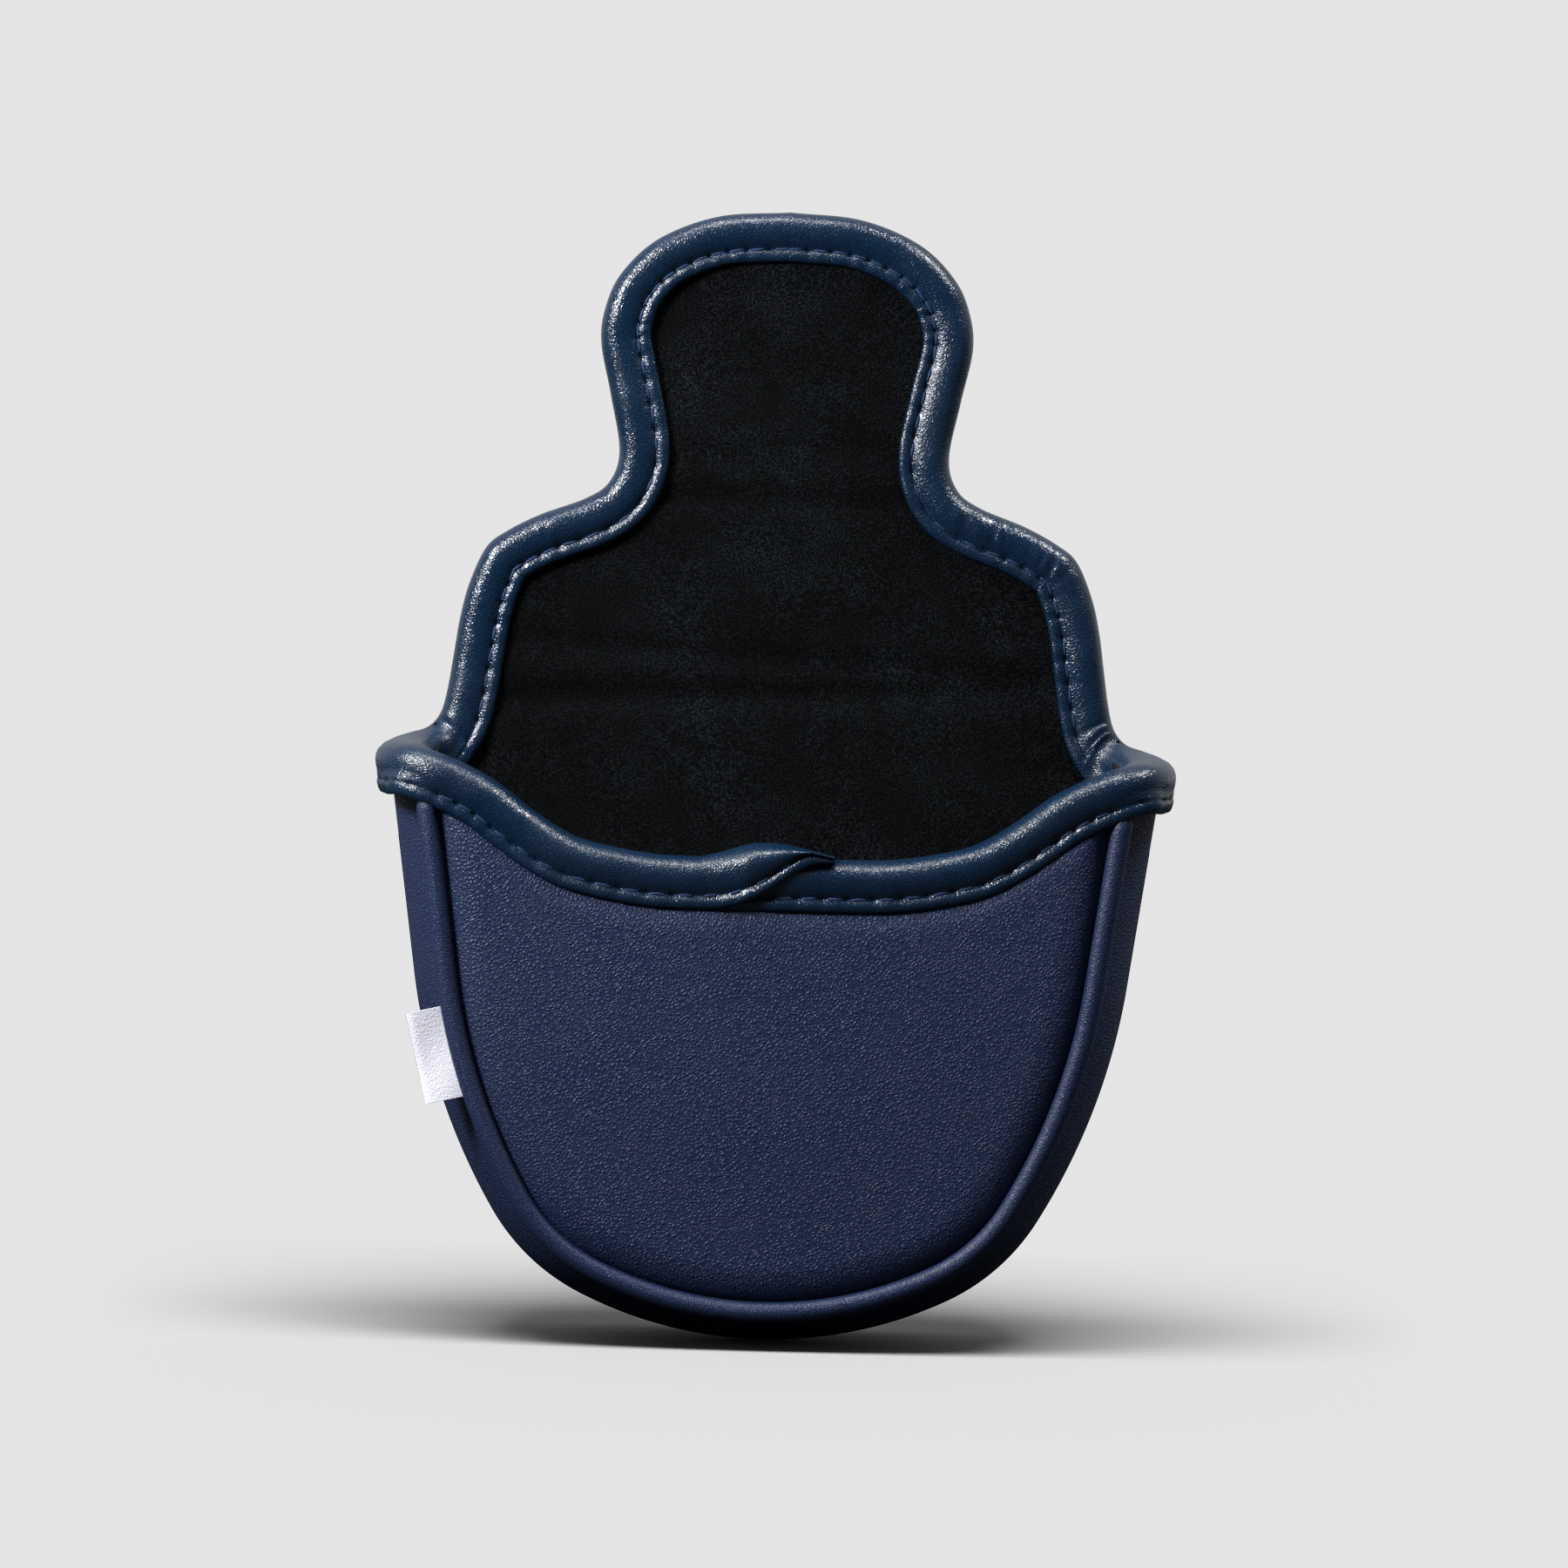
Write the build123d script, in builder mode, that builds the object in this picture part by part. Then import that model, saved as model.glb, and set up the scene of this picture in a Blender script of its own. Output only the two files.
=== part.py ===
"""Putter head cover for a mid mallet: a padded pouch with a fold-over flap.

The pouch is a sandwich wall (outer leather, foam padding, velour lining) made of a front panel, a back
panel and a bulged gusset between them, with corded piping in both seams. The back wall runs on above the
mouth as a flap, which folds forward over the face of the putter (flap), then down in front of the pouch
(tongue), where a hidden pair of disc magnets holds it. One leather binding strip closes every raw edge.

Frame: +X to the right, +Y to the back, +Z up through the mouth. The origin is under the middle of the
pouch, level with its lowest point. Lengths are millimetres and angles are degrees.
"""

from build123d import *
from math import acos, atan2, cos, degrees, radians, sin, sqrt, tan
import os

os.makedirs("parts", exist_ok=True)

# ---------------------------------------------------------------- driving dimensions
# Sandwich wall
leather = 1.2           # outer leather
padding = 3.0           # foam between leather and lining
lining = 1.8            # velour lining
glue_line = 0.05        # clearance between glued layers
cavity_depth = 26.0     # lining to lining, the room for the putter's head

# Outline of the pouch at the middle of the gusset, as tangent arcs from the bottom up
bottom_radius = 69.0
corner_radius = 35.0
flank_radius = 104.0
bottom_sweep = 26.0     # angle of the outline's normal where the bottom meets the corner
corner_sweep = 59.0     # and where the corner meets the flank
side_sweep = 82.0       # and where the flank meets the straight side, which leans out by 90 - 82

# Gusset and piping
bulge = 6.2             # how far the gusset stands out between its two seams
piping_radius = 1.7
piping_cord_radius = 0.95
piping_gap = 0.1        # piping to the panel, and to the gusset's edge with the label between them

# Mouth
rim_low = 79.2          # height of the front rim at the middle
rim_dip_half = 31.0     # half width of the dip, before its corners are rounded off
rim_dip_radius = 40.0
rim_shoulder = (47.5, 94.2)
rim_shoulder_radius = 14.0
rim_ear = (62.0, 97.4)
gusset_top = 97.3       # height of the gusset's top edge at its middle
gusset_slope = 0.13     # its rise towards the back, per mm of depth

# Binding
binding_width = 8.2     # from the folded edge to the cut edge
binding = 1.0           # thickness of the binding leather
binding_round = 2.4     # rounding of the folded edge
stitch_inset = 5.8      # stitch line, from the folded edge
stitch_pitch = 4.0
stitch_length = 2.6
stitch_radius = 0.25
stitch_lift = 0.02      # above the binding's face
stitch_margin = 2.5     # from a fold line or a side edge to the nearest stitch

# Flap and tongue
flap_fold_z = 101.5     # fold line over the face of the putter
tongue_fold_z = 135.0   # fold line over the front rim
flap_half_width = 55.2  # at the foot of the flap
flap_foot_z = 98.0
flap_root_z = 78.0      # lower end of the flap's outline, inside the pouch part of the back wall
shoulder_corner = (52.6, 129.2)
shoulder_radius = 12.0
neck_corner = (27.2, 140.4)
neck_radius = 6.5
waist = (27.2, 148.0)
waist_radius = 24.0
cheek = (31.9, 165.5)
cheek_radius = 16.0
brow = (28.6, 180.5)
brow_radius = 17.0
tongue_top = 187.0
tongue_top_radius = 40.0
fold_gap = 0.3          # clearance between the two sides of a fold line
fold_back = 25.0        # how far a fold bends backwards

# Cutting shapes
beyond = 200.0          # size of a block that is larger than the whole part
overshoot = 1.0         # how far a cut runs past the surface that it opens
cut_off = 20.0          # what the pouch is made taller by, before its mouth is cut

# Magnets
magnet_radius = 5.0
magnet_thickness = 2.0
magnet_clearance = 0.1
tongue_magnet_z = 170.5

# Woven label in the left front seam
label_height = 15.3     # along the seam
label_reach = 7.6       # out from the seam
label_thickness = 0.6
label_centre_z = 47.5
label_root = 0.8        # held in the seam

# ---------------------------------------------------------------- sizes that follow
wall = leather + padding + lining
inner_y = cavity_depth / 2                      # face of the lining
padding_y = inner_y + lining                    # lining to padding
leather_y = padding_y + padding                 # padding to leather
outer_y = inner_y + wall                        # face of the leather at the seams
binding_in_y = inner_y - binding
binding_out_y = outer_y + binding
piping_y = outer_y - leather / 2
label_y = piping_y - piping_radius - piping_gap - label_thickness
seam_y = label_y - piping_gap                   # edge of the gusset's leather
gusset_radius = (seam_y**2 + bulge**2) / (2 * bulge)
gusset_centre = bulge - gusset_radius           # centre of the bulge, from the seam line outwards
gusset_inside = gusset_radius - leather         # inner radius of the gusset's leather
panel_inset = piping_radius + piping_gap        # panel leather, inside the seam line
behind_gusset = glue_line - gusset_centre - sqrt(gusset_inside**2 - seam_y**2)
beside_piping = sqrt(piping_radius**2 - (piping_y - leather_y + glue_line) ** 2) + piping_gap
padding_inset = max(behind_gusset, beside_piping)
lining_inset = glue_line - gusset_centre - sqrt(gusset_inside**2 - padding_y**2)
fold_y = binding_in_y                           # the fold axes lie on the binding's inner face
tall = flap_fold_z + cut_off                    # height of the pouch, before the mouth is cut
front_magnet_z = flap_fold_z + tongue_fold_z - tongue_magnet_z
back_top = gusset_top + gusset_slope * seam_y   # height of the gusset's top edge at the back
held = binding + glue_line                      # what the binding takes from the wall's edge


# ---------------------------------------------------------------- outlines
def along(centre, radius, angle):
    """Point at a distance from a centre, at an angle from straight down."""
    return (centre[0] + radius * sin(radians(angle)), centre[1] - radius * cos(radians(angle)))


bottom_centre = (0.0, bottom_radius)
corner_centre = along(bottom_centre, bottom_radius - corner_radius, bottom_sweep)
flank_centre = along(corner_centre, corner_radius - flank_radius, corner_sweep)


def pouch_curve(inset):
    """Right half of the pouch outline, inset from its widest section: arc points and the top point."""
    stretches = [
        (bottom_centre, bottom_radius, 0, bottom_sweep),
        (corner_centre, corner_radius, bottom_sweep, corner_sweep),
        (flank_centre, flank_radius, corner_sweep, side_sweep),
    ]
    arcs = [
        [along(centre, radius - inset, angle) for angle in (start, (start + end) / 2, end)]
        for centre, radius, start, end in stretches
    ]
    foot = arcs[-1][-1]
    lean = tan(radians(90 - side_sweep))
    return arcs, (foot[0] + (tall - foot[1]) * lean, tall)


def flip(point):
    """The same point on the left side."""
    return (-point[0], point[1])


def draw_pouch_curve(inset):
    """Adds the whole open outline, from the top left round the bottom to the top right, to a BuildLine."""
    arcs, end = pouch_curve(inset)
    Line(flip(end), flip(arcs[-1][-1]))
    for start, middle, stop in reversed(arcs):
        ThreePointArc(flip(stop), flip(middle), flip(start))
    for start, middle, stop in arcs:
        ThreePointArc(start, middle, stop)
    Line(arcs[-1][-1], end)
    return end


def pouch_face(inset):
    """Closed region inside the pouch outline, inset from the seam line, before the mouth is cut."""
    with BuildSketch() as region:
        with BuildLine():
            end = draw_pouch_curve(bulge + inset)
            Line(end, flip(end))
        make_face()
    return region.sketch


def mouth_face(inset):
    """Everything below the front rim, inset from the folded edge of its binding."""
    side, floor = 90.0, -30.0
    half = [(rim_dip_half, rim_low), rim_shoulder, rim_ear]
    radii = [rim_dip_radius, rim_shoulder_radius]
    with BuildSketch() as region:
        with BuildLine():
            FilletPolyline(*[flip(p) for p in reversed(half)], *half, radius=[*reversed(radii), *radii])
            beside = (side, half[-1][1])
            Polyline(half[-1], beside, (side, floor), (-side, floor), flip(beside), flip(half[-1]))
        make_face()
        if inset:
            offset(amount=-inset, kind=Kind.INTERSECTION)
    return region.sketch


def flap_face(inset):
    """Region of the flap and tongue, inset from the folded edge of their binding."""
    half = [
        (flap_half_width, flap_root_z),
        (flap_half_width, flap_foot_z),
        shoulder_corner,
        neck_corner,
        waist,
        cheek,
        brow,
        (0, tongue_top),
    ]
    radii = [30.0, shoulder_radius, neck_radius, waist_radius, cheek_radius, brow_radius]
    with BuildSketch() as region:
        with BuildLine():
            FilletPolyline(
                *half, *[flip(p) for p in reversed(half[:-1])],
                radius=[*radii, tongue_top_radius, *reversed(radii)],
            )
            Line(half[0], flip(half[0]))
        make_face()
        if inset:
            offset(amount=-inset, kind=Kind.INTERSECTION)
    return region.sketch


def back_face(inset, seam_inset):
    """Region of the whole back wall: the pouch part up to the gusset's top, then the flap and tongue."""
    with BuildSketch() as pouch_part:
        with Locations((0, back_top - inset - beyond / 2)):
            Rectangle(beyond, beyond)
    below = pouch_part.sketch
    return (pouch_face(seam_inset) & below) + (flap_face(inset) - below)


def plate(face, near, far, side=1):
    """The face as a plate between two depths: side -1 is the front wall, +1 the back wall."""
    with BuildPart() as made:
        with BuildSketch(Plane.XZ.offset(-side * near)):
            add(face)
        extrude(amount=-side * (far - near))
    return made.part


def between(low, high):
    """Block that keeps what lies between two heights."""
    with BuildPart() as block:
        with BuildSketch(Plane.XY.offset(low)):
            Rectangle(beyond, beyond)
        extrude(amount=high - low)
    return block.part


def fold_groove(height):
    """V groove along a fold line, open to the outside, with its point at the fold axis."""
    half_gap = fold_gap / 2
    depth = wall + 2 * binding + overshoot
    flare = half_gap + depth * tan(radians(fold_back / 2))
    with BuildPart() as groove:
        with BuildSketch(Plane.YZ.offset(-beyond / 2)):
            with BuildLine():
                Polyline(
                    (fold_y - overshoot, height - half_gap),
                    (fold_y, height - half_gap),
                    (fold_y + depth, height - flare),
                    (fold_y + depth, height + flare),
                    (fold_y, height + half_gap),
                    (fold_y - overshoot, height + half_gap),
                    close=True,
                )
            make_face()
        extrude(amount=beyond)
    return groove.part


def around_pouch(profile):
    """Sweeps a profile round the U of the pouch. Its x is the depth, its y points inwards from the seam."""
    with BuildPart() as made:
        with BuildLine(Plane.XZ) as path:
            draw_pouch_curve(bulge)
        start = Plane(origin=path.line @ 0, x_dir=(0, 1, 0), z_dir=path.line % 0)
        with BuildSketch(start):
            add(profile)
        sweep(path=path.line)
    return made.part


def under_mouth(part, drop):
    """What lies below the slanting plane of the gusset's top edge, lowered by a drop."""
    plane = Plane(origin=(0, 0, gusset_top - drop), x_dir=(1, 0, 0), z_dir=(0, -gusset_slope, 1))
    return split(part, bisect_by=plane, keep=Keep.BOTTOM)


def dome(radius, half_depth, floor):
    """Profile of the gusset's bulge: an arc of a radius over a flat floor, inwards of the seam line."""

    def height(depth):
        return -(gusset_centre + sqrt(radius**2 - depth**2))

    with BuildSketch() as profile:
        with BuildLine():
            foot = (half_depth, height(half_depth))
            ThreePointArc(flip(foot), (0, height(0)), foot)
            Polyline(foot, (half_depth, floor), (-half_depth, floor), flip(foot))
        make_face()
    return profile.sketch


def strip(half_depth, outwards, inwards):
    """Flat profile from a distance outwards of the seam line to a distance inwards of it."""
    with BuildSketch() as profile:
        with Locations((0, (inwards - outwards) / 2)):
            Rectangle(2 * half_depth, outwards + inwards)
    return profile.sketch


def save(part, name):
    """Labels a finished piece and writes it."""
    part.label = name
    export_step(part, f"parts/{name}.step")
    print(f"{name}: {len(part.solids())} solids, {part.volume:.0f} mm3")


# ---------------------------------------------------------------- walls, layer by layer
flap_groove = fold_groove(flap_fold_z)
tongue_groove = fold_groove(tongue_fold_z)
pouch_zone = between(-beyond, flap_fold_z) - flap_groove
flap_zone = between(flap_fold_z, tongue_fold_z) - flap_groove - tongue_groove
tongue_zone = between(tongue_fold_z, tongue_top + beyond) - tongue_groove
front_edge = mouth_face(held)
layers = {
    "lining": (inner_y, padding_y - glue_line, lining_inset),
    "padding": (padding_y, leather_y - glue_line, padding_inset),
    "panel": (leather_y, outer_y, panel_inset),
}


def magnet_block(near, height, clearance):
    """Disc at a height, from a depth outwards along +Y, with clearance all round."""
    with BuildPart() as disc:
        with BuildSketch(Plane.XZ.offset(-near)):
            with Locations((0, height)):
                Circle(magnet_radius + clearance)
        extrude(amount=-(magnet_thickness + clearance))
    return disc.part


front_magnet = magnet_block(-leather_y + glue_line, front_magnet_z, 0)
front_pocket = magnet_block(-leather_y, front_magnet_z, magnet_clearance)
tongue_magnet = magnet_block(padding_y, tongue_magnet_z, 0)
tongue_pocket = magnet_block(padding_y, tongue_magnet_z, magnet_clearance)

for layer, (near, far, inset) in layers.items():
    front_wall = plate(pouch_face(inset) & front_edge, near, far, -1)
    back_wall = plate(back_face(held, inset), near, far)
    tongue_wall = back_wall & tongue_zone
    if layer == "padding":
        front_wall = front_wall - front_pocket
        tongue_wall = tongue_wall - tongue_pocket
    save(front_wall, f"front_{layer}")
    save(back_wall & pouch_zone, f"back_{layer}")
    save(back_wall & flap_zone, f"flap_{layer}")
    save(tongue_wall, f"tongue_{layer}")
save(front_magnet, "front_magnet")
save(tongue_magnet, "tongue_magnet")


# ---------------------------------------------------------------- gusset
fits_between = inner_y - glue_line
gusset_hollow = dome(gusset_inside, seam_y + overshoot, 3 * leather)
gusset_leather = dome(gusset_radius, seam_y, 2 * leather) - gusset_hollow
gusset_foam = dome(gusset_inside - glue_line, fits_between, -glue_line)
gusset_velour = strip(fits_between, 0, lining)
gusset_layers = {"gusset": gusset_leather, "gusset_padding": gusset_foam, "gusset_lining": gusset_velour}
for name, profile in gusset_layers.items():
    save(under_mouth(around_pouch(profile), held), name)

# Its binding is a channel over the top edge, cut out of a full-depth block
bound = dome(gusset_radius + binding, seam_y, lining_inset - glue_line)
bound = bound + strip(fits_between, 0, lining + binding)
core = dome(gusset_radius + glue_line, seam_y + overshoot, lining + glue_line)
gusset_channel = under_mouth(around_pouch(bound), 0) - under_mouth(around_pouch(bound), binding_width)
gusset_channel = gusset_channel - under_mouth(around_pouch(core), held)
for side, keep in [("left", Keep.BOTTOM), ("right", Keep.TOP)]:
    save(split(gusset_channel, bisect_by=Plane.YZ, keep=keep), f"gusset_binding_{side}")

# ---------------------------------------------------------------- bindings of the flat walls
gusset_room = around_pouch(strip(seam_y + glue_line, bulge + 2 * binding, lining + held))
front_full = pouch_face(-piping_radius) & (mouth_face(0) - mouth_face(binding_width))
front_binding = plate(front_full, binding_in_y, binding_out_y, -1)
front_core = plate(front_edge, fits_between, outer_y + glue_line, -1)
front_binding = front_binding - front_core - gusset_room
save(front_binding, "front_binding")

back_full = back_face(0, -piping_radius) - back_face(binding_width, panel_inset)
back_core = plate(back_face(held, -2 * piping_radius), fits_between, outer_y + glue_line)
back_channel = plate(back_full, binding_in_y, binding_out_y) - back_core - gusset_room
rim_zone = between(back_top - binding_width, flap_fold_z) - flap_groove
for side, keep in [("left", Keep.BOTTOM), ("right", Keep.TOP)]:
    half = split(back_channel, bisect_by=Plane.YZ, keep=keep)
    save(half & rim_zone, f"back_binding_{side}")
    save(half & flap_zone, f"flap_binding_{side}")
save(back_channel & tongue_zone, "tongue_binding")


# ---------------------------------------------------------------- stitches
def stitch_rows(face, keep_point, side):
    """Stitches along the edges of a face that keep_point accepts, in both faces of the wall."""
    spots = []
    for edge in face.edges():
        count = max(1, round(edge.length / stitch_pitch))
        for number in range(count):
            place = (number + 0.5) / count
            point, run = edge @ place, edge % place
            if keep_point(point):
                spots.append(Location((point.X, point.Y), degrees(atan2(run.Y, run.X))))
    with BuildPart() as rows:
        for depth, outwards in [(binding_out_y, 1), (binding_in_y, -1)]:
            with BuildSketch(Plane.XZ.offset(-side * (depth + outwards * stitch_lift))):
                with Locations(spots):
                    SlotOverall(stitch_length, 2 * stitch_radius)
            extrude(amount=-side * outwards * stitch_radius)
    return rows.part


def on_rim(point):
    """On the stretch of the front rim between the two ears."""
    return abs(point.X) < rim_shoulder[0] + stitch_margin and point.Y > rim_low - binding_width


def on_flap(low, high):
    """On the stretch of the flap between two heights, clear of both."""
    return lambda point: low + stitch_margin < point.Y < high - stitch_margin


flap_seam = flap_face(stitch_inset)
save(stitch_rows(mouth_face(stitch_inset), on_rim, -1), "rim_stitches")
save(stitch_rows(flap_seam, on_flap(flap_fold_z, tongue_fold_z), 1), "flap_stitches")
save(stitch_rows(flap_seam, on_flap(tongue_fold_z, tongue_top), 1), "tongue_stitches")

# ---------------------------------------------------------------- piping
for side, name in [(-1, "front"), (1, "back")]:
    with BuildSketch() as piping_ring:
        with Locations((side * piping_y, 0)):
            Circle(piping_radius)
            Circle(piping_cord_radius + glue_line, mode=Mode.SUBTRACT)
    with BuildSketch() as piping_core:
        with Locations((side * piping_y, 0)):
            Circle(piping_cord_radius)
    free_end = binding_width + glue_line
    below_rim = mouth_face(free_end) if side < 0 else back_face(free_end, -2 * piping_radius)
    below_binding = plate(below_rim, binding_in_y, outer_y + 2 * piping_radius, side)
    save(around_pouch(piping_ring.sketch) & below_binding, f"{name}_piping")
    save(around_pouch(piping_core.sketch) & below_binding, f"{name}_piping_cord")

# ---------------------------------------------------------------- woven label
label_turn = degrees(acos((flank_centre[1] - label_centre_z) / (flank_radius - bulge)))
label_seat = along(flank_centre, flank_radius - bulge + (label_reach - label_root) / 2, label_turn)
with BuildPart() as side_label:
    with BuildSketch(Plane.XZ.offset(label_y)):
        with Locations(Location((-label_seat[0], label_seat[1]), 90 - label_turn)):
            Rectangle(label_reach + label_root, label_height)
    extrude(amount=label_thickness)
save(side_label.part, "side_label")
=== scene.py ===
# %% [markdown]
# # A padded putter head cover
# The cover is a soft pouch for the head of a golf putter. A front wall, a back wall and a bulged gusset
# make the pouch, corded piping runs in both seams, and the back wall goes on upwards as a flap with a
# narrow neck and a rounded tongue. One strip of smooth leather binds every raw edge. The CAD frame gives
# the sizes, the joints and the hidden parts. Blender gives the leather, the velour and the stitches.

# %% The frame and the CAD box
import math

import bpy
import numpy as np
from mathutils import Matrix


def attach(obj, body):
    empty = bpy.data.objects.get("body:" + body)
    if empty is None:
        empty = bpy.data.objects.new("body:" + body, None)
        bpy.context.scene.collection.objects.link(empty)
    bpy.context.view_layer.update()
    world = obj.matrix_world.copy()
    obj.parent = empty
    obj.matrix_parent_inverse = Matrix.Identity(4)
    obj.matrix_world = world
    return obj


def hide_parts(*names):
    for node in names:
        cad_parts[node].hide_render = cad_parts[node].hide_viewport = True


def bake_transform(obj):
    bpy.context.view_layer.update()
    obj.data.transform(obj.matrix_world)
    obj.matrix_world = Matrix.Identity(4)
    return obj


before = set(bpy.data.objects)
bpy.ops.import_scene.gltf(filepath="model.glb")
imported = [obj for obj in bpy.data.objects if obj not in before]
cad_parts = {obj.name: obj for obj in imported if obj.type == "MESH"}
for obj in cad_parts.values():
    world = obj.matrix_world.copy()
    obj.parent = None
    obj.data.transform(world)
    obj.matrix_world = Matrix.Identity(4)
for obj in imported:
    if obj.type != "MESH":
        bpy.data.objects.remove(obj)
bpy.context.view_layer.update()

MM = 0.001

# %% [markdown]
# Every wall is one sandwich: leather outside, foam, then velour. All lengths below are millimetres, and
# they repeat the values that the CAD model is built on, so each soft skin lies where its solid does.

# %% Sizes of the walls
INNER_Y = 13.0          # face of the velour, from the middle of the pouch
OUTER_Y = 19.0          # face of the leather
MIDDLE_Y = (INNER_Y + OUTER_Y) / 2
LEATHER = 1.2
BULGE = 6.2             # how far the gusset stands out between its seams
PIPING_RADIUS = 1.7
PIPING_Y = OUTER_Y - LEATHER / 2
SEAM_Y = 15.9           # edge of the gusset's leather
SPLIT_Z = 118.0         # the skins are cut here, between the two folds
print("wall", OUTER_Y - INNER_Y, "mm thick, pouch", 2 * OUTER_Y, "mm thick at its seams")

# %% [markdown]
# The flap bends at its root and the tongue bends at the neck. Leather and foam don't bend along a sharp
# line, so each bend is given as a band of heights.

# %% Where the skins bend
FLAP_BEND = (0.1002, 0.112)
TONGUE_BEND = (0.129, 0.141)
print("bends at the flap", FLAP_BEND, "and at the tongue", TONGUE_BEND)


# %% [markdown]
# Many parts of a cover follow a line: a seam, an edge or a row of stitches. Two helpers draw lines as lists
# of points. One spaces points evenly, and the other passes a smooth curve through a few chosen points,
# which is how a maker draws a pattern with a flexible ruler.

# %% Lines
def spaced(line, count):
    """Points spaced evenly along a line."""
    line = np.asarray(line, float)
    steps = np.linalg.norm(np.diff(line, axis=0), axis=1)
    along = np.concatenate([[0], np.cumsum(steps)])
    wanted = np.linspace(0, along[-1], count)
    return np.stack([np.interp(wanted, along, line[:, k]) for k in range(line.shape[1])], axis=1)


def smooth(points, count):
    """A smooth line through a few points, spaced evenly."""
    p = np.asarray(points, float)
    p = np.vstack([2 * p[0] - p[1], p, 2 * p[-1] - p[-2]])
    line = []
    for a, b, c, d in zip(p, p[1:], p[2:], p[3:]):
        for t in np.linspace(0, 1, 24, endpoint=False):
            line.append(0.5 * (2 * b + (c - a) * t + (2 * a - 5 * b + 4 * c - d) * t**2
                               + (3 * b - a - 3 * c + d) * t**3))
    return spaced(np.vstack([line, p[-2]]), count)


bow = smooth([(0, 0), (1, 1), (2, 0)], 5)
print("five points along a bow", bow.round(2).tolist())

# %% [markdown]
# The outline of the pouch is three arcs that touch each other, then a straight side. A skin needs the same
# outline at several insets, so it is one function of the inset and of the height where it stops.

# %% Outline of the pouch
ARCS = [(69.0, 0, 26), (35.0, 26, 59), (104.0, 59, 82)]    # radius, and where each starts and ends


def pouch_half(inset, top, count):
    """Right half of the pouch outline (x, z), from the bottom centre up to a height."""
    centre = np.array([0.0, ARCS[0][0]])
    line = []
    for number, (radius, start, end) in enumerate(ARCS):
        if number:
            turn = math.radians(start)
            centre = centre + (ARCS[number - 1][0] - radius) * np.array([math.sin(turn), -math.cos(turn)])
        for angle in np.radians(np.linspace(start, end, 40)):
            line.append(centre + (radius - inset) * np.array([math.sin(angle), -math.cos(angle)]))
    foot = line[-1]
    lean = math.tan(math.radians(90 - ARCS[-1][2]))
    line.append((foot[0] + (top - foot[1]) * lean, top))
    return spaced(line, count)


print("seam half width at the ears", pouch_half(BULGE, 95, 200)[-1][0])


# %% [markdown]
# A skin is a grid of points joined by four-sided faces. Blender takes the points and faces as lists, so
# one helper turns rows of points into a smooth object at real size, with its faces turned outwards.

# %% From rows of points to a piece
def make_piece(name, rows, material, body=None, ring=False, caps=False):
    """Joins rows of points (millimetres) into one mesh. A ring joins each row's end to its start."""
    rows = [np.asarray(r, float) for r in rows]
    width = len(rows[0])
    verts = [tuple(point * MM) for row in rows for point in row]
    faces = []
    for r in range(len(rows) - 1):
        for c in range(width if ring else width - 1):
            n = (c + 1) % width
            faces.append((r * width + c, r * width + n, (r + 1) * width + n, (r + 1) * width + c))
    if caps:
        faces.append(tuple(reversed(range(width))))
        faces.append(tuple((len(rows) - 1) * width + c for c in range(width)))
    mesh = bpy.data.meshes.new(name)
    mesh.from_pydata(verts, [], faces)
    obj = bpy.data.objects.new(name, mesh)
    bpy.context.collection.objects.link(obj)
    bpy.ops.object.select_all(action="DESELECT")
    bpy.context.view_layer.objects.active = obj
    obj.select_set(True)
    bpy.ops.object.mode_set(mode="EDIT")
    bpy.ops.mesh.select_all(action="SELECT")
    bpy.ops.mesh.remove_doubles(threshold=0.000001)
    bpy.ops.mesh.dissolve_degenerate(threshold=0.000001)
    bpy.ops.mesh.normals_make_consistent(inside=False)
    bpy.ops.object.mode_set(mode="OBJECT")
    bpy.ops.object.shade_smooth_by_angle(angle=math.radians(50))
    obj.data.materials.append(material)
    if body:
        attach(obj, body)
    print(name, len(mesh.polygons), "faces")
    return obj


# %% [markdown]
# ## Finishes
# A finish is a small graph of nodes that ends in one shader. All the finishes here start in the same way
# and mix the same few things, so a helper for each keeps the finishes themselves short. Patterns read the
# object's own coordinates, so they stay in place on the leather when the flap folds.

# %% Helpers for the finishes
def node_tree(name):
    """A new material with its nodes, its shader and a texture coordinate in object space."""
    material = bpy.data.materials.new(name)
    material.use_nodes = True
    nodes, links = material.node_tree.nodes, material.node_tree.links
    shader = nodes["Principled BSDF"]
    coords = nodes.new("ShaderNodeTexCoord").outputs["Object"]
    return material, nodes, links, shader, coords


def noise(nodes, scale, detail=2.0, roughness=0.5):
    """A noise texture with a scale in waves per metre."""
    texture = nodes.new("ShaderNodeTexNoise")
    texture.inputs["Scale"].default_value = scale
    texture.inputs["Detail"].default_value = detail
    texture.inputs["Roughness"].default_value = roughness
    return texture


print("helpers that start a finish:", node_tree.__name__, noise.__name__)


# %% [markdown]
# A pattern is stretched over the range that it needs. It then mixes two tones, raises the surface, or does
# both at once, so that the pits of a grain are also its dark places, as painted shade.

# %% Helpers for tones and relief
def spread(nodes, links, source, low, high, to_low=0.0, to_high=1.0):
    """Stretches a value from one range to another, softly at both ends."""
    stretched = nodes.new("ShaderNodeMapRange")
    stretched.interpolation_type = "SMOOTHSTEP"
    for socket, value in zip(("From Min", "From Max", "To Min", "To Max"), (low, high, to_low, to_high)):
        stretched.inputs[socket].default_value = value
    links.new(source, stretched.inputs["Value"])
    return stretched.outputs["Result"]


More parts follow.
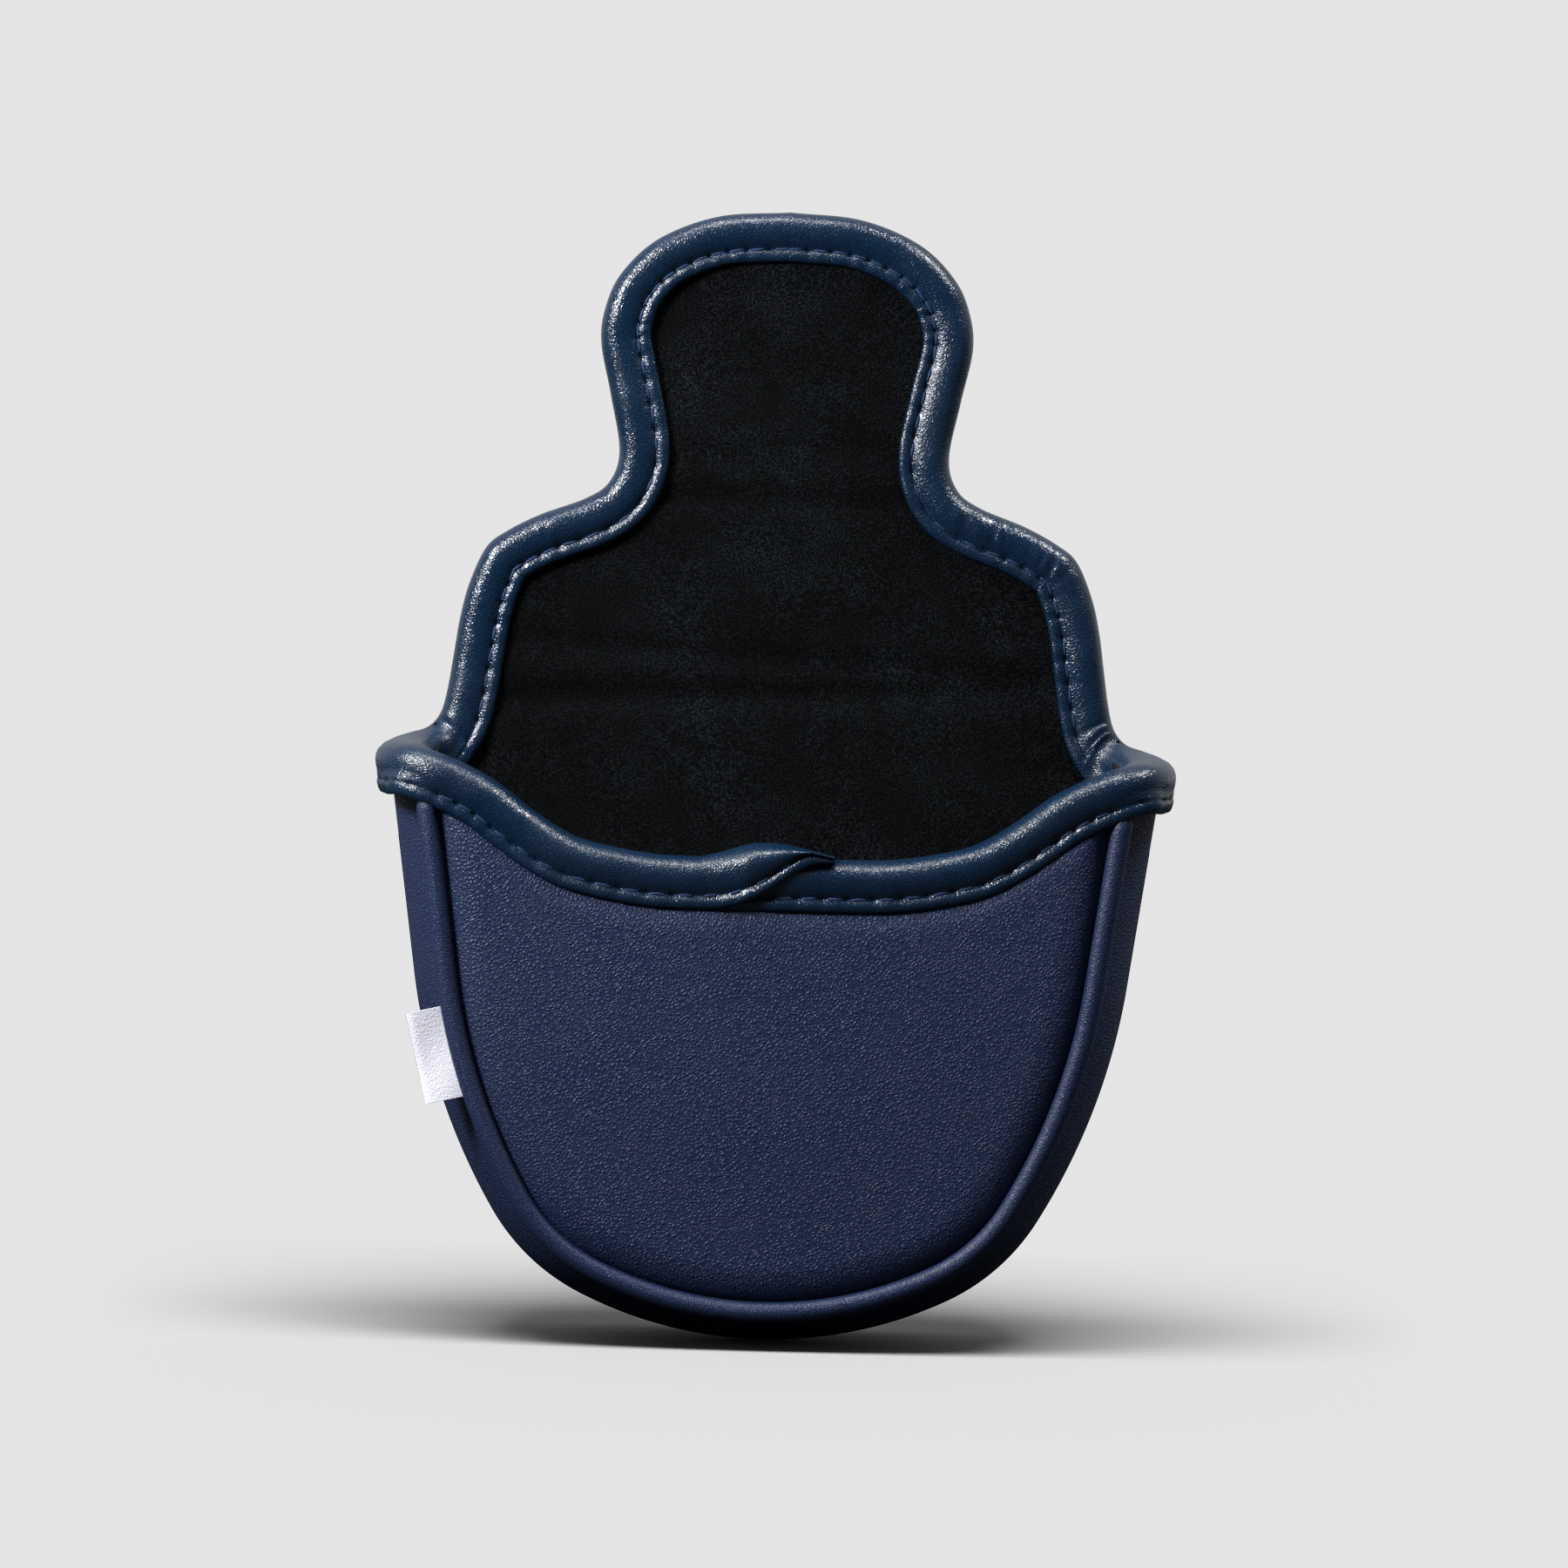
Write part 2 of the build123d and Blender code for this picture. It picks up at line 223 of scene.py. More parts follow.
def two_tone(nodes, links, shader, low, high, *factors):
    """Mixes two colours by the product of some factors, as the base colour."""
    factor = factors[0]
    for other in factors[1:]:
        product = nodes.new("ShaderNodeMath")
        product.operation = "MULTIPLY"
        links.new(factor, product.inputs[0])
        links.new(other, product.inputs[1])
        factor = product.outputs["Value"]
    tone = nodes.new("ShaderNodeMix")
    tone.data_type = "RGBA"
    tone.inputs["A"].default_value = (*low, 1)
    tone.inputs["B"].default_value = (*high, 1)
    links.new(factor, tone.inputs["Factor"])
    links.new(tone.outputs["Result"], shader.inputs["Base Color"])


def relief(nodes, links, shader, height, depth):
    """Raises the surface by a height from 0 to 1, times a depth in millimetres."""
    bump = nodes.new("ShaderNodeBump")
    bump.inputs["Distance"].default_value = depth * MM
    links.new(height, bump.inputs["Height"])
    links.new(bump.outputs["Normal"], shader.inputs["Normal"])


print("helpers that shape a finish:", spread.__name__, two_tone.__name__, relief.__name__)


# %% [markdown]
# The leather of the panels has a fine pebble: rounded cells about 0.6 mm across with valleys between them,
# which carry painted shade.
# A Voronoi texture gives the cells and a noise makes them uneven. A picture of leather could do the same,
# but it would blur close up. The piping is the same leather stretched over a cord, and the binding is
# smoother and glossier.

# %% Leather
def leather(name, low, high, roughness, cell, depth, gloss):
    """Grained leather: a valley tone with painted shade and a pebble tone, a cell size and a relief depth
    in millimetres.
    """
    material, nodes, links, shader, coords = node_tree(name)
    warp = noise(nodes, 600 / cell, detail=3)
    shift = nodes.new("ShaderNodeVectorMath")
    shift.operation = "MULTIPLY_ADD"
    shift.inputs[1].default_value = (0.7 * MM * cell,) * 3
    cells = nodes.new("ShaderNodeTexVoronoi")
    cells.feature = "DISTANCE_TO_EDGE"
    cells.inputs["Scale"].default_value = 1000 / cell
    patches = noise(nodes, 60, detail=4)
    links.new(coords, warp.inputs["Vector"])
    links.new(coords, patches.inputs["Vector"])
    links.new(warp.outputs["Color"], shift.inputs[0])
    links.new(coords, shift.inputs[2])
    links.new(shift.outputs["Vector"], cells.inputs["Vector"])
    pebble = spread(nodes, links, cells.outputs["Distance"], 0.0, 0.38)
    uneven = spread(nodes, links, warp.outputs["Fac"], 0.3, 0.7, 0.45, 1.0)
    broad = spread(nodes, links, patches.outputs["Fac"], 0.3, 0.7, 0.8, 1.0)
    # Painted shade: the valleys between the pebbles take the low tone. The uneven and broad patches are the
    # leather's own tone.
    two_tone(nodes, links, shader, low, high, pebble, uneven, broad)
    dull = spread(nodes, links, patches.outputs["Fac"], 0.3, 0.7, roughness + 0.06, roughness - 0.04)
    links.new(dull, shader.inputs["Roughness"])
    relief(nodes, links, shader, pebble, depth)
    shader.inputs["Specular IOR Level"].default_value = gloss
    return material


# In each leather the low tone carries painted shade in the valleys of the grain.
PANEL = leather("panel_leather", (0.009, 0.017, 0.052), (0.023, 0.038, 0.100), 0.47, 0.60, 0.10, 0.28)
PIPING = leather("piping_leather", (0.009, 0.017, 0.052), (0.022, 0.037, 0.095), 0.42, 0.45, 0.045, 0.34)
BINDING = leather("binding_leather", (0.001, 0.011, 0.031), (0.003, 0.022, 0.056), 0.27, 0.50, 0.038, 0.60)
print("leathers", [m.name for m in (PANEL, PIPING, BINDING)])


# %% [markdown]
# Velour is a short dense pile. It looks almost black face on: the gaps between the tufts carry painted
# shade and the ends of the tufts painted sheen. A broad noise stands for pile that was brushed in different
# directions, and its patches are painted lighter and darker, as sheen. Hair particles would give real
# fibres, but they would be far too many for a part that others reuse.

# %% Velour
def pile(name, gap, tip, tuft, depth):
    """Short pile: painted shade in the gaps, tufts whose ends carry painted sheen, and broad patches
    brushed one way or the other, painted as sheen.
    """
    material, nodes, links, shader, coords = node_tree(name)
    tufts = noise(nodes, 1000 / tuft, roughness=0.7)
    brushed = noise(nodes, 45, detail=4)
    swirl = noise(nodes, 260, detail=3)
    for texture in (tufts, brushed, swirl):
        links.new(coords, texture.inputs["Vector"])
    # Painted sheen on the ends of the tufts and painted shade in the gaps between them. The brushed patches
    # are the pile's lie, painted as lighter and darker sheen.
    tip_sheen = spread(nodes, links, tufts.outputs["Fac"], 0.42, 0.74)
    pile_lie_and_sheen = spread(nodes, links, brushed.outputs["Fac"], 0.35, 0.68, 0.40, 1.0)
    fine_lie_and_sheen = spread(nodes, links, swirl.outputs["Fac"], 0.3, 0.7, 0.6, 1.0)
    two_tone(nodes, links, shader, gap, tip, tip_sheen, pile_lie_and_sheen, fine_lie_and_sheen)
    relief(nodes, links, shader, tufts.outputs["Fac"], depth)
    shader.inputs["Roughness"].default_value = 0.9
    shader.inputs["Specular IOR Level"].default_value = 0.05
    shader.inputs["Sheen Weight"].default_value = 0.02
    shader.inputs["Sheen Roughness"].default_value = 0.4
    return material


# The first colour carries painted shade in the gaps of the pile, and the second carries painted sheen on
# its tufts.
VELOUR = pile("velour", (0.0004, 0.0006, 0.0009), (0.020, 0.024, 0.028), 0.34, 0.28)
print("pile", VELOUR.name)


# %% [markdown]
# Foam, thread, tape and cord are matt and plain. One helper with two soft tones and a fine weave serves
# them all. The magnets are plated steel.

# %% Foam, thread, tape, cord and magnets
def cloth(name, low, high, scale, roughness, depth):
    """A woven surface: two tones in soft patches, and a fine relief with a depth in millimetres."""
    material, nodes, links, shader, coords = node_tree(name)
    patches = noise(nodes, 90, detail=5)
    weave = noise(nodes, scale)
    links.new(coords, patches.inputs["Vector"])
    links.new(coords, weave.inputs["Vector"])
    two_tone(nodes, links, shader, low, high, patches.outputs["Fac"])
    relief(nodes, links, shader, weave.outputs["Fac"], depth)
    shader.inputs["Roughness"].default_value = roughness
    shader.inputs["Specular IOR Level"].default_value = 0.12
    return material


FOAM = cloth("foam", (0.010, 0.011, 0.014), (0.018, 0.020, 0.024), 2500, 0.9, 0.1)
THREAD = cloth("thread", (0.010, 0.026, 0.070), (0.026, 0.052, 0.125), 5000, 0.45, 0.05)
TAPE = cloth("label_weave", (0.66, 0.66, 0.74), (0.76, 0.76, 0.85), 3000, 0.8, 0.12)
CORD = cloth("piping_core", (0.4, 0.4, 0.4), (0.5, 0.5, 0.5), 3000, 0.8, 0.05)
MAGNET = bpy.data.materials.new("magnet")
MAGNET.use_nodes = True
plated = MAGNET.node_tree.nodes["Principled BSDF"]
plated.inputs["Metallic"].default_value = 1.0
plated.inputs["Roughness"].default_value = 0.3
print("plain finishes", [m.name for m in (FOAM, THREAD, TAPE, CORD, MAGNET)])


# %% [markdown]
# ## The front wall
# The mouth of the pouch dips at the front, so that the putter goes in easily. Its edge is a smooth curve
# through a few points of one half (across, height), and the other half mirrors it.

# %% The dip of the mouth
RIM_POINTS = [(0, 79.8), (10, 79.8), (20, 80.1), (30, 81.9), (35, 84.0), (40, 87.3), (45, 91.0), (50, 93.7),
              (55, 95.6), (60, 97.0)]
RIM = smooth(RIM_POINTS, 200)


def rim_z(x, drop=0.0):
    """Height of the folded edge of the rim's binding, less a drop."""
    return np.interp(np.abs(x), RIM[:, 0], RIM[:, 1]) - drop


print("the mouth dips", round(float(rim_z(60) - rim_z(0)), 1), "mm")

# %% [markdown]
# The front wall is drawn as rows that run from one side of the pouch to the other. The rows at the bottom
# are straight, and the higher ones sag more and more until the last one follows the dip of the mouth. A
# flat sheet could be cut to this shape, but its faces would be long and thin near the edge.

# %% Rows of the front wall
WALL_ROWS = 110


def wall_rows(inset, drop, across=96, up=WALL_ROWS):
    """Rows (x, z) of the front wall, inset from the seam line, with its top under the rim's edge."""
    side = pouch_half(BULGE + inset, 97.0 - drop, up)
    side[0, 0] = 0.05
    rows = []
    for number, (half, height) in enumerate(side):
        lift = (number / (up - 1)) ** 3
        x = np.linspace(-half, half, across)
        sag = rim_z(x, drop) - rim_z(half, drop)
        rows.append(np.stack([x, height + lift * sag], axis=1))
    return rows


print("front wall", WALL_ROWS, "rows, the top one", round(2 * wall_rows(0, 0)[-1][-1, 0]), "mm wide")

# %% [markdown]
# The panel is leather over foam, so it swells between its seams: it rises steeply from the seam and then
# runs nearly flat. The swell depends only on the distance to the edge, as on a real cushion with a stitched
# border.

# %% Swell, skin and thickness
def pillow(rows, edge, height, reach):
    """Swell above an edge line: nothing on the line, the full height once past its reach."""
    edge = np.vstack([edge, edge * (-1, 1)])
    out = []
    for row in rows:
        gap = np.min(np.linalg.norm(row[:, None, :] - edge[None], axis=2), axis=1)
        t = np.clip(gap / reach, 0, 1)
        out.append(height * np.sqrt(1 - (1 - t) ** 2))
    return out


def front_skin(name, rows, depths, material):
    """A skin of rows (x, z) on the front wall, each row at its own depth in front of the middle."""
    placed = [np.column_stack([row[:, 0], -np.broadcast_to(depth, len(row)), row[:, 1]])
              for row, depth in zip(rows, depths)]
    return make_piece(name, placed, material, "pouch")


def thicken(obj, thickness, offset):
    """Gives a skin its real thickness with a Solidify modifier, and applies it."""
    bpy.ops.object.select_all(action="DESELECT")
    obj.select_set(True)
    bpy.context.view_layer.objects.active = obj
    wall = obj.modifiers.new("wall", "SOLIDIFY")
    wall.thickness = thickness * MM
    wall.offset = offset
    bpy.ops.object.modifier_apply(modifier=wall.name)
    bpy.ops.object.shade_smooth_by_angle(angle=math.radians(40))
    return obj


# %% [markdown]
# The panel's leather starts inside the seam line and goes up under the folded edge of the rim. A thinner
# sheet of foam lies behind it.

# %% Front panel
PANEL_INSET = 1.5                # the panel's edge, inside the seam line
PANEL_EDGE_Y = OUTER_Y - 2.1     # depth of the panel's face where it goes down into the seam
CROWN = 3.1                      # swell of the panel over its edge
SHOULDER = 6.0                   # distance from the edge at which the swell is full
TUCK = 6.5                       # how far under the folded edge of the rim the panel starts
panel_rows = wall_rows(PANEL_INSET, TUCK)
panel_sides = pouch_half(BULGE + PANEL_INSET, 90.5, 220)
panel_edge = np.vstack([panel_sides, np.column_stack([RIM[:, 0], RIM[:, 1] - TUCK])])
swell = pillow(panel_rows, panel_edge, CROWN, SHOULDER)
front_panel = front_skin("front_panel_leather", panel_rows, [PANEL_EDGE_Y + s for s in swell], PANEL)
thicken(front_panel, LEATHER, -1)
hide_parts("front_panel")

# %% [markdown]
# The foam is glued to the back of the leather. It stops short of the seam, because a seam with foam in it
# would be too thick to sew.

# %% Front foam
FOAM_INSET = 2.8
FOAM_FACE_Y = OUTER_Y - 2.0
FOAM_THICKNESS = 2.2
front_foam = front_skin("front_foam", wall_rows(FOAM_INSET, TUCK), [FOAM_FACE_Y] * WALL_ROWS, FOAM)
thicken(front_foam, FOAM_THICKNESS, -1)
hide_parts("front_padding")


# %% [markdown]
# ## The gusset
# The gusset is a long band of leather, sewn to both walls and pushed outwards by the foam under it. It runs
# down one side, under the pouch and up the other, and its top edge slopes up to the back. It could be a
# flat strip bent round, but a grid of columns lets each line across it bulge on its own.

# %% A band round the pouch
def sweep_points(inset, top, count):
    """Whole outline from the top left round to the top right, with the outward direction at each point."""
    half = pouch_half(inset, top, count)
    line = np.vstack([half[::-1] * (-1, 1), half[1:]])
    run = np.gradient(line, axis=0)
    run /= np.linalg.norm(run, axis=1)[:, None]
    return line, np.column_stack([run[:, 1], -run[:, 0]])


GUSSET_TOP = 97.3
GUSSET_SLOPE = 0.13


def band(name, rise, half_depth, drop, material, across=41, count=150):
    """A band round the pouch: rise(y) is how far its surface stands out from the seam line."""
    columns = []
    for y in half_depth * np.sin(np.linspace(-math.pi / 2, math.pi / 2, across)):
        top = GUSSET_TOP + GUSSET_SLOPE * y - drop
        line, out = sweep_points(BULGE, top, count)
        placed = line + out * rise(y)
        columns.append(np.column_stack([placed[:, 0], np.full(len(placed), y), placed[:, 1]]))
    return make_piece(name, columns, material, "pouch")


# %% [markdown]
# The section of the bulge is an arc through both seams. Close to a seam the thread pulls the leather in, so
# the arc dips there.

# %% Gusset
GUSSET_DROP = 1.5        # how far the leather stops under the top of the band
SEAM_DIP, SEAM_DIP_REACH = 0.9, 1.1
gusset_radius = (SEAM_Y**2 + BULGE**2) / (2 * BULGE)


def gusset_rise(y):
    """The bulge's arc, which dips sharply where the edge is pulled into its seam."""
    dip = SEAM_DIP * math.exp(-((SEAM_Y - abs(y)) / SEAM_DIP_REACH) ** 2)
    return BULGE - gusset_radius + math.sqrt(gusset_radius**2 - y * y) - dip


gusset = band("gusset_leather", gusset_rise, SEAM_Y, GUSSET_DROP, PANEL, across=61)
thicken(gusset, LEATHER, -1)
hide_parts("gusset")
print("arc of the gusset", round(gusset_radius, 1), "mm in radius")


# %% [markdown]
# ## Piping
# Piping is a cord in a narrow strip of leather, sewn into a seam so that a round edge shows. Each run is a
# tube along the seam line whose ends go under the binding.

# %% Piping
def tube(name, line, radius, material, body, sides=20):
    """A round tube along a line (x, y, z) at one depth, narrowed at its ends, under the binding."""
    run = np.gradient(line, axis=0)
    run /= np.linalg.norm(run, axis=1)[:, None]
    side = np.cross(run, (0, 1, 0))
    rows = []
    turns = np.linspace(0, 2 * math.pi, sides, endpoint=False)
    for number, (point, aside) in enumerate(zip(line, side)):
        from_end = min(number, len(line) - 1 - number)
        size = radius * (1 - 0.35 * math.exp(-(from_end / 2.0) ** 2))
        rows.append(point + size * (np.outer(np.cos(turns), aside) + np.outer(np.sin(turns), (0, 1, 0))))
    return make_piece(name, rows, material, body, ring=True, caps=True)


PIPING_TOPS = {"front_piping": (-1, 88.4), "back_piping": (1, 91.5)}    # side, and end height
for name, (facing, top) in PIPING_TOPS.items():
    line, _ = sweep_points(BULGE, top, 220)
    path = np.column_stack([line[:, 0], np.full(len(line), facing * PIPING_Y), line[:, 1]])
    piping = tube(name + "_leather", path, PIPING_RADIUS, PIPING, "pouch")
    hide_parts(name)


# %% [markdown]
# ## The binding
# One strip of smooth leather is folded over every raw edge and stitched through. It goes round the mouth,
# up both sides of the flap and over the tongue. Its route is a list of places on the folded edge, each with
# the direction away from the wall's middle. That direction turns at the ears, where the strip goes round
# the end of the gusset and then climbs the flap.

# %% Route of the right half of the binding
FORWARDS, BACKWARDS = (0, -1, 0), (0, 1, 0)
EAR = [
    ((54.5, -15.8, 95.5), (0.1, -1, 0)), ((58, -14, 96.6), (0.6, -0.8, 0)),
    ((60, -10, 97.0), (0.95, -0.3, 0)), ((61, -4, 97.3), (1, -0.1, 0)), ((61, 4, 97.8), (1, 0.1, 0)),
    ((60, 10, 98.5), (0.95, 0.35, 0)), ((58, 14.2, 99.6), (0.5, 0.85, 0)), ((56.3, 15.8, 102), (0.1, 1, 0)),
]
FLAP_EDGE = [(55.3, 106), (54.4, 112), (53.5, 118), (52.1, 123.7), (49.5, 129.6), (46.2, 132.4),
             (40.5, 135.4), (33.0, 138.3), (29.1, 141.2), (27.6, 146.5), (29.3, 155.8), (31.1, 164.5),
             (30.5, 170.4), (27.9, 176.2), (21.8, 182), (12, 185.9), (0, 186.9)]
RIM_PLACES = [((x, -MIDDLE_Y, z), FORWARDS) for x, z in RIM_POINTS[:8]]
FLAP_PLACES = [((x, MIDDLE_Y, z), BACKWARDS) for x, z in FLAP_EDGE]
ROUTE = RIM_PLACES + EAR + FLAP_PLACES
STATIONS = 620


def route_frames():
    """Evenly spaced places, outward directions and inward directions along the right half."""
    both = smooth([list(p) + [20 * k for k in d] for p, d in ROUTE], 2400)
    place = both[:, :3]
    steps = np.linalg.norm(np.diff(place, axis=0), axis=1)
    along = np.concatenate([[0], np.cumsum(steps)])
    wanted = np.linspace(0, along[-1], STATIONS)
    both = np.stack([np.interp(wanted, along, both[:, k]) for k in range(6)], axis=1)
    place, out = both[:, :3], both[:, 3:]
    run = np.gradient(place, axis=0)
    run[0], run[-1] = (1, 0, 0), (-1, 0, 0)
    run /= np.linalg.norm(run, axis=1)[:, None]
    inward = np.cross(run, out) * (1, 0, 1)
    inward /= np.linalg.norm(inward, axis=1)[:, None]
    out = np.cross(inward, run)
    return place, out, inward, wanted


PLACE, OUT, INWARD, ALONG = route_frames()


def station_at(height):
    """First station past the ears that is as high as a height."""
    return next(i for i in range(STATIONS) if PLACE[i][1] > 10 and PLACE[i][2] >= height)


corner, middle = station_at(100.5), station_at(SPLIT_Z)
print("stations", corner, middle, STATIONS, "binding length", round(2 * ALONG[-1]), "mm")

# %% [markdown]
# The section of the binding is a plump roll with a groove where the stitches pull it in, then a thin
# flange. Each point is an inset from the folded edge and a height over the wall's middle. Only one half is
# written, and the other half mirrors it.

# %% Section of the binding
HALF_PROFILE = [(8.45, 2.8), (8.5, 3.4), (8.35, 3.85), (7.95, 4.1), (7.4, 4.15), (6.95, 4.08), (6.58, 3.85),
                (6.3, 3.7), (6.05, 3.8), (5.6, 4.12), (4.9, 4.4), (4.1, 4.6), (3.2, 4.7), (2.4, 4.65),
                (1.6, 4.35), (0.9, 3.7), (0.4, 2.7), (0.1, 1.4), (0.0, 0.0)]
PROFILE = np.array(HALF_PROFILE + [(n, -d) for n, d in reversed(HALF_PROFILE[:-1])])
STITCH_INSET = 6.3
STITCH_PITCH = 4.0
FLANGE = PROFILE[:, 0].max() - STITCH_INSET
print("binding", PROFILE[:, 0].max(), "mm wide, flange", round(FLANGE, 1), "mm")

# %% [markdown]
# Leather that is folded and sewn is never even. It waves slowly, wrinkles in tight corners and puckers at
# each stitch. All of this is added to the section's height as sums of sines and soft bumps. Sculpting
# would do it by hand, but a formula gives the same leather on each run. A seed makes the two sides differ.

# %% Waves, wrinkles and puckers
SEEDS = {"right": 1.0, "left": 4.0}
LEFT_WRINKLES = 0.35      # share of the wrinkles that the left side gets


def near(value, centre, reach):
    """1 at a centre, falling smoothly to nothing past a reach."""
    return np.exp(-((value - centre) / reach) ** 2)


def wrinkle(along, inset, height, seed):
    """Wrinkles across the roll, at the neck, at the shoulder and where the flap leaves the ear."""
    corners = 0.26 * near(height, 138.5, 4) + 0.16 * near(height, 130.5, 3) + 0.20 * near(height, 101.5, 3)
    corners *= 1.0 if seed < 3 else LEFT_WRINKLES
    phase = along * 1.9 + 0.7 * inset + 1.6 * math.sin(along * 0.73 + seed) + seed
    uneven = 0.4 + 0.6 * math.sin(along * 0.41 + 3 * seed)
    return corners * uneven * math.sin(phase) * near(inset, 2.6, 2.6)


def pucker(along, inset, ear, seed):
    """A pit at each stitch, a pucker beside it, and a shallower groove round the ears."""
    beat = math.cos(2 * math.pi * along / STITCH_PITCH)
    uneven = 0.7 + 0.3 * math.sin(along * 0.6 + 5 * seed)
    puckers = -0.09 * beat * near(inset, STITCH_INSET + 0.9, 1.1) * uneven
    pits = -0.26 * max(beat, 0) ** 4 * near(inset, STITCH_INSET, 0.4)
    return puckers + (pits + 0.55 * ear * near(inset, STITCH_INSET, 0.8))


def binding_relief(along, inset, place, seed):
    """What the folded leather adds to the section at a place: waves, wrinkles, puckers, and the piping."""
    apart_from_ends = 1 - near(along, 0, 6) - near(along, ALONG[-1], 16)
    waves = 0.07 * (math.sin(along * 0.31 + seed) + 0.6 * math.sin(along * 0.83 + 2.1 * seed))
    rolls = waves * near(inset, 3.0, 2.4) + wrinkle(along, inset, place[2], seed)
    ear = float(np.clip((abs(place[0]) - 50) / 8, 0, 1)) if place[2] < 100 else 0.0
    over_piping = 0.45 * near(abs(place[0]), 57.3, 2.2) * near(place[2], 96.5, 4.0) * (inset > 5)
    return apart_from_ends * rolls + pucker(along, inset, ear, seed) * (inset > 4) + over_piping


deepest = min(pucker(along, STITCH_INSET, 0, 1.0) for along in ALONG)
print("the stitches pull the leather in by up to", round(-deepest, 2), "mm")

# %% [markdown]
# A section stands at each station of the route. It's turned so that its insets run inwards and its heights
# run outwards, and the relief is added to its height. The left side is the mirror of the right one.

# %% Sections along the route
def binding_rows(first, last, side):
    """Sections of the binding between two stations, on one side."""
    rows = []
    for station in range(first, min(last + 1, STATIONS)):
        place, out, inward, along = PLACE[station], OUT[station], INWARD[station], ALONG[station]
        row = []
        for inset, depth in PROFILE:
            face = np.sign(depth)
            raised = depth + face * binding_relief(along, inset, place, SEEDS[side] + face)
            row.append(place + inward * inset + out * raised)
        rows.append(np.array(row) * ((-1, 1, 1) if side == "left" else (1, 1, 1)))
    return rows


print("the right flap's strip has", len(binding_rows(corner, middle, "right")), "sections")

# %% [markdown]
# The strip starts and ends at the middle of the rim, where the left end laps over the right one. Its flange
# turns up across the roll, so its stitches and its cut edge climb to a tip on the folded edge. Three lines
# give the heights of the cut edge, the stitches and the folded edge along the lap, and the same section is
# stretched between them.

# %% The lap
LAP_X = (-12.0, -8.5, -5.5, -3.0, -0.6, 2.0, 4.4, 6.8, 10.0)
LAP_FOOT = (71.3, 71.5, 72.2, 73.2, 74.5, 76.4, 78.0, 79.0, 79.4)
LAP_TOP = (79.8, 80.6, 81.6, 82.2, 82.3, 82.1, 81.6, 81.0, 80.2)
LAP_LIFT = 1.25           # how far the lap ends up over the strip below it


def lap_heights(x):
    """Heights of the cut edge, the stitches and the folded edge of the lap."""
    foot, top = np.interp(x, LAP_X, LAP_FOOT), np.interp(x, LAP_X, LAP_TOP)
    return foot, min(foot + FLANGE, foot + 0.85 * (top - foot)), top


def lap_lift(x):
    """How far the lap stands off the wall's middle, over the strip below it."""
    return LAP_LIFT * float(np.clip((x + 11) / 7, 0, 1)) ** 1.5


def lapped(rows):
    """Puts the lap before the left strip's own sections."""
    start, lap = rows[0], []
    inset, depth = PROFILE[:, 0], PROFILE[:, 1]
    for x in np.linspace(LAP_X[-1], LAP_X[0], 60):
        foot, seam, top = lap_heights(x)
        height = np.interp(inset, (0, STITCH_INSET, inset.max()), (top, seam, foot))
        stand = np.abs(depth) + lap_lift(x) * np.clip(inset / 1.5, 0, 1)
        y = start[:, 1].mean() + np.sign(-depth) * stand
        lap.append(np.column_stack([np.full(len(inset), x), y, height]))
    return lap + [row for row in rows if row[:, 0].mean() < LAP_X[0] - 0.3]


def under_lap(rows):
    """Carries the right strip on under the lap, a little thinner."""
    start, hidden = rows[0], []
    for x in np.linspace(-9.0, -0.5, 12):
        row = start.copy()
        row[:, 0] = x
        row[:, 1] -= 0.07 * abs(x) * np.sign(row[:, 1] - start[:, 1].mean())
        hidden.append(row)
    return hidden + rows


print("the lap is", LAP_X[-1] - LAP_X[0], "mm long and its tip is", LAP_TOP[-1], "mm high")

# %% [markdown]
# The strip is cut into pieces where the bodies meet: the rim on the pouch, a piece beside each flap fold,
# and one piece over the tongue.

# %% Binding pieces
RIM_NODES = {"left": ["gusset_binding_left", "back_binding_left"],
             "right": ["gusset_binding_right", "back_binding_right", "front_binding"]}
for side in ("right", "left"):
    rows = binding_rows(0, corner, side)
    rows = lapped(rows) if side == "left" else under_lap(rows)
    rim = make_piece(f"rim_binding_{side}", rows, BINDING, "pouch", ring=True, caps=True)
    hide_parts(*RIM_NODES[side])
    rows = binding_rows(corner, middle, side)
    flap = make_piece(f"flap_edge_binding_{side}", rows, BINDING, None, ring=True,
                      caps=True)
    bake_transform(flap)
    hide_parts(f"flap_binding_{side}")

# %% [markdown]
# Over the tongue the strip runs up the right side and down the left one. The left side's sections are
# therefore added in the opposite order, without the top one, which both sides share.

# %% Binding of the tongue
rows = binding_rows(middle, STATIONS - 1, "right")
rows += binding_rows(middle, STATIONS - 1, "left")[::-1][1:]
tongue_edge = make_piece("tongue_edge_binding", rows, BINDING, None, ring=True,
                         caps=True)
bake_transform(tongue_edge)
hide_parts("tongue_binding")


# %% [markdown]
# ## The back wall and its flap
# The back wall is one piece of leather and one of velour, from the bottom of the pouch to the top of the
# tongue. Its outline is the seam line up to the ears and the binding's route above them. Rows lie closer
# together at the two round ends, where the width changes quickly.

# %% Rows of the back wall
EDGE = PLACE[station_at(101.0):][:, [0, 2]]
SEAM_SIDE = pouch_half(BULGE, 105, 400)
EARS_Z = 100.5                     # the outline changes from the seam to the flap's edge
BOTTOM_END, TOP_START = 30, 165    # heights where the round bottom ends and the round top starts
ROUND_ROWS = 30
HAIR = 0.05                        # half width of a row at a round end


def seam_half(height):
    """Half width of the pouch at a height, on its seam line."""
    return float(np.interp(height, SEAM_SIDE[:, 1], SEAM_SIDE[:, 0]))


